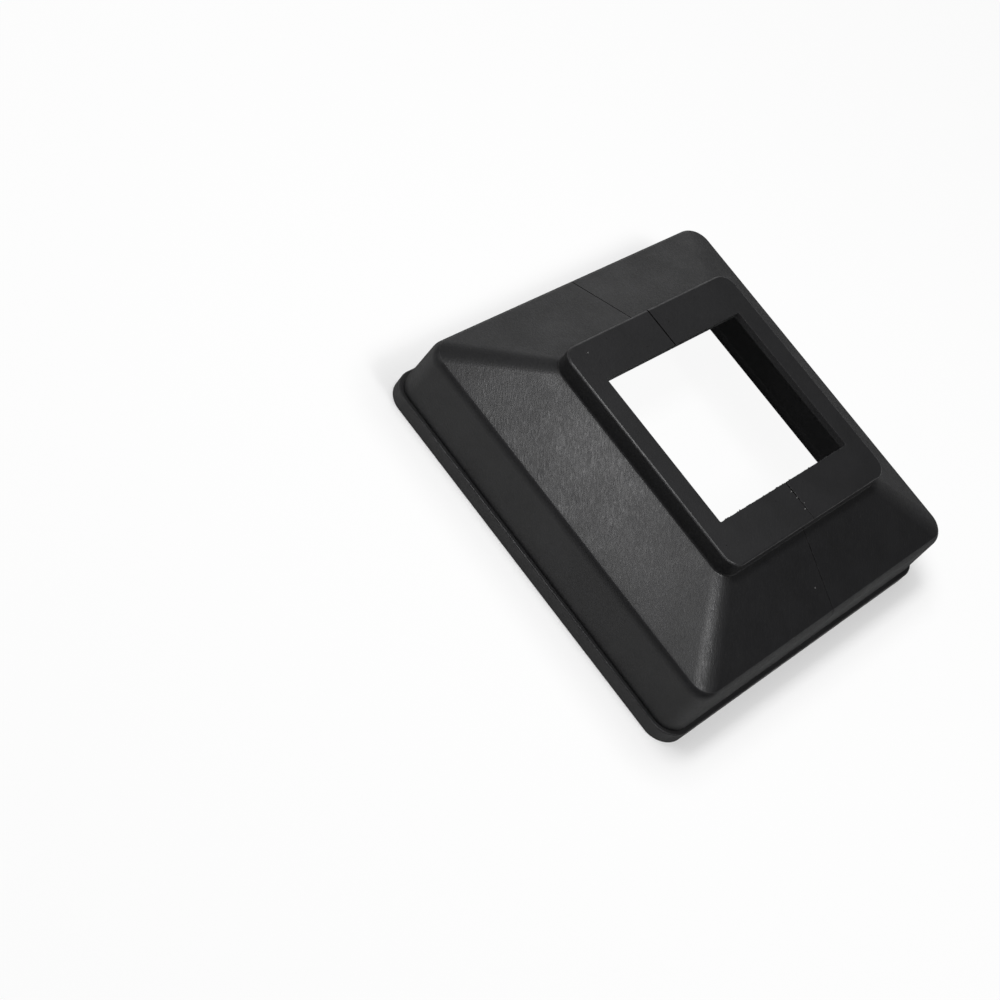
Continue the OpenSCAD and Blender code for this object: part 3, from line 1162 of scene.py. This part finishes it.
class COVER_OT_studio(bpy.types.Operator):
    """Pale floor, soft lamps and the camera"""

    bl_idname = "post_cover.studio"
    bl_label = "Studio"

    def execute(self, context):
        studio = context.scene.studio_settings
        self.lay_floor(studio)
        self.light_room(context.scene, studio)
        self.set_camera(context.scene)
        context.scene.view_settings.view_transform = "Standard"
        return {"FINISHED"}

    def lay_floor(self, studio):
        """Square floor so wide that its edge is out of sight"""
        reach = 30
        corners = [(-reach, -reach, 0), (reach, -reach, 0), (reach, reach, 0), (-reach, reach, 0)]
        mesh = bpy.data.meshes.new("floor")
        mesh.from_pydata(corners, [], [(0, 1, 2, 3)])
        floor = new_object("floor", mesh)
        mesh.materials.append(painted_studio_floor(studio))

    def light_room(self, scene, studio):
        """Even light of the room and five lamps, with name, place, aim, size and brightness"""
        world = bpy.data.worlds.new("studio_room")
        scene.world = world
        world.use_nodes = True
        tree = world.node_tree
        tree.nodes.clear()
        room = add(tree, "ShaderNodeBackground", {"Color": (1, 1, 1, 1), "Strength": studio.sky})
        add(tree, "ShaderNodeOutputWorld", {"Surface": room.outputs[0]})
        lamps = [
            # Straight above the corner between the -X and +Y slopes, for their sheen
            ("key_softbox", (-0.10, 0.11, 0.60), (-0.10, 0.11, 0.05), (0.25, 0.11), studio.key),
            # For the scuffed hip between the -X and -Y slopes
            ("hip_kicker", (-0.06, -0.215, 0.6), (-0.09, -0.1, 0.05), (0.09, 0.15), studio.kicker),
            # Mirrored in the collar's flat top
            ("top_softbox", (0.36, 0.03, 0.60), (-0.06, -0.06, 0.07), (0.16, 0.16), studio.top),
            # For the +Y slope, from the far side
            ("side_panel", (1.2, 1.05, 0.58), (0, 0, 0.05), (1.1, 0.7), studio.side),
            # Soft light on the -X and +Y sides, from the camera's upper left
            ("fill_panel", (-1.2, 1.2, 1.15), (0, 0, 0.05), (1.4, 1.2), studio.fill),
        ]
        for lamp in lamps:
            softbox(*lamp)

    def set_camera(self, scene):
        """Camera that sees the cover as the photograph does"""
        lens = bpy.data.cameras.new("camera")
        lens.sensor_width = 36
        lens.lens = 74.116
        lens.clip_start = 0.01
        lens.clip_end = 100
        place = Vector((-0.798301, -0.152835, 0.771526))
        turn = Euler([math.radians(angle) for angle in (35.157636, -26.849840, -42.282771)])
        camera = bpy.data.objects.new("camera", lens)
        camera.matrix_world = Matrix.Translation(place) @ turn.to_matrix().to_4x4()
        scene.collection.objects.link(camera)
        scene.camera = camera


class COVER_PT_panel(bpy.types.Panel):
    """Buttons and settings of the cover"""

    bl_label = "Post base cover"
    bl_idname = "COVER_PT_panel"
    bl_space_type = "VIEW_3D"
    bl_region_type = "UI"
    bl_category = "Post cover"

    def draw(self, context):
        layout = self.layout
        for operator in OPERATORS:
            layout.operator(operator.bl_idname)
        for name in GROUPS:
            box = layout.box()
            group = getattr(context.scene, name)
            for setting in group.__annotations__:
                box.prop(group, setting)


GROUPS = {
    "cover_finish": CoverFinish,
    "arris_sizes": ArrisSizes,
    "studio_settings": StudioSettings,
}
OPERATORS = (
    COVER_OT_dress_halves,
    COVER_OT_opening_flash,
    COVER_OT_seam_beads,
    COVER_OT_nibs,
    COVER_OT_studio,
)


def register():
    """Register the settings, the operators and the panel"""
    for name, group in GROUPS.items():
        bpy.utils.register_class(group)
        setattr(bpy.types.Scene, name, bpy.props.PointerProperty(type=group))
    for operator in OPERATORS:
        bpy.utils.register_class(operator)
    bpy.utils.register_class(COVER_PT_panel)


def unregister():
    """Undo what register does"""
    bpy.utils.unregister_class(COVER_PT_panel)
    for operator in reversed(OPERATORS):
        bpy.utils.unregister_class(operator)
    for name, group in GROUPS.items():
        delattr(bpy.types.Scene, name)
        bpy.utils.unregister_class(group)


def main():
    """Make every piece and the studio"""
    register()
    bpy.ops.post_cover.dress_halves()
    bpy.ops.post_cover.opening_flash()
    bpy.ops.post_cover.seam_beads()
    bpy.ops.post_cover.nibs()
    bpy.ops.post_cover.studio()


if __name__ == "__main__":
    main()
